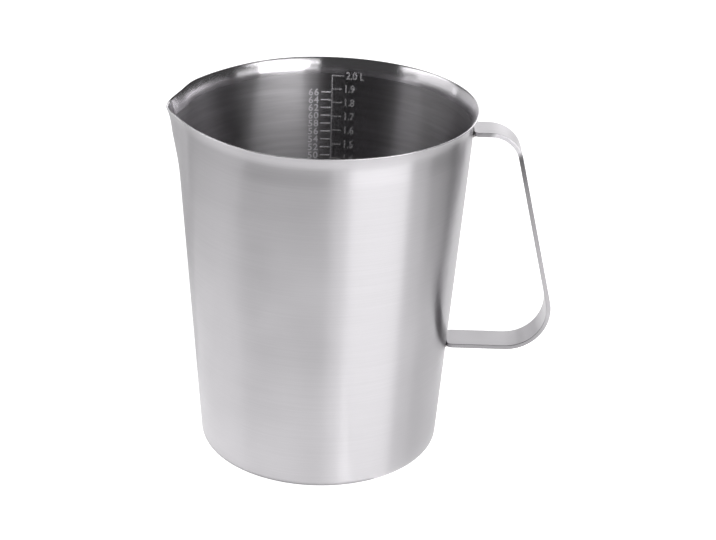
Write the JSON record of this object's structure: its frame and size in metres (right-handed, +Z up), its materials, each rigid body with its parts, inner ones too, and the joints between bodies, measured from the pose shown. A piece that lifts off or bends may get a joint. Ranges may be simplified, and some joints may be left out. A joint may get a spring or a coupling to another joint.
{
  "type": "measuring jug",
  "caption": "Open tapered steel measuring jug with a flared lip, a small pressed pouring spout, a welded flat strap handle and fill scales marked inside the wall.",
  "frame": {"origin": "centre of the underside of the base, on the jug's axis", "axes": "+Z up along the jug's axis, +X towards the handle, -X towards the spout, +Y towards the scales"},
  "size_m": [0.184, 0.1434, 0.171],
  "materials": {
    "cup_steel": "satin",
    "strap_steel": "polished",
    "weld_steel": "as welded",
    "scale_mark": "frosted etch"
  },
  "bodies": {
    "root": {"jug_body": "cup_steel", "handle_strap": "strap_steel", "upper_weld_bead": "weld_steel", "lower_weld_bead": "weld_steel", "litre_scale": "scale_mark", "ounce_scale": "scale_mark"}
  },
  "joints": []
}
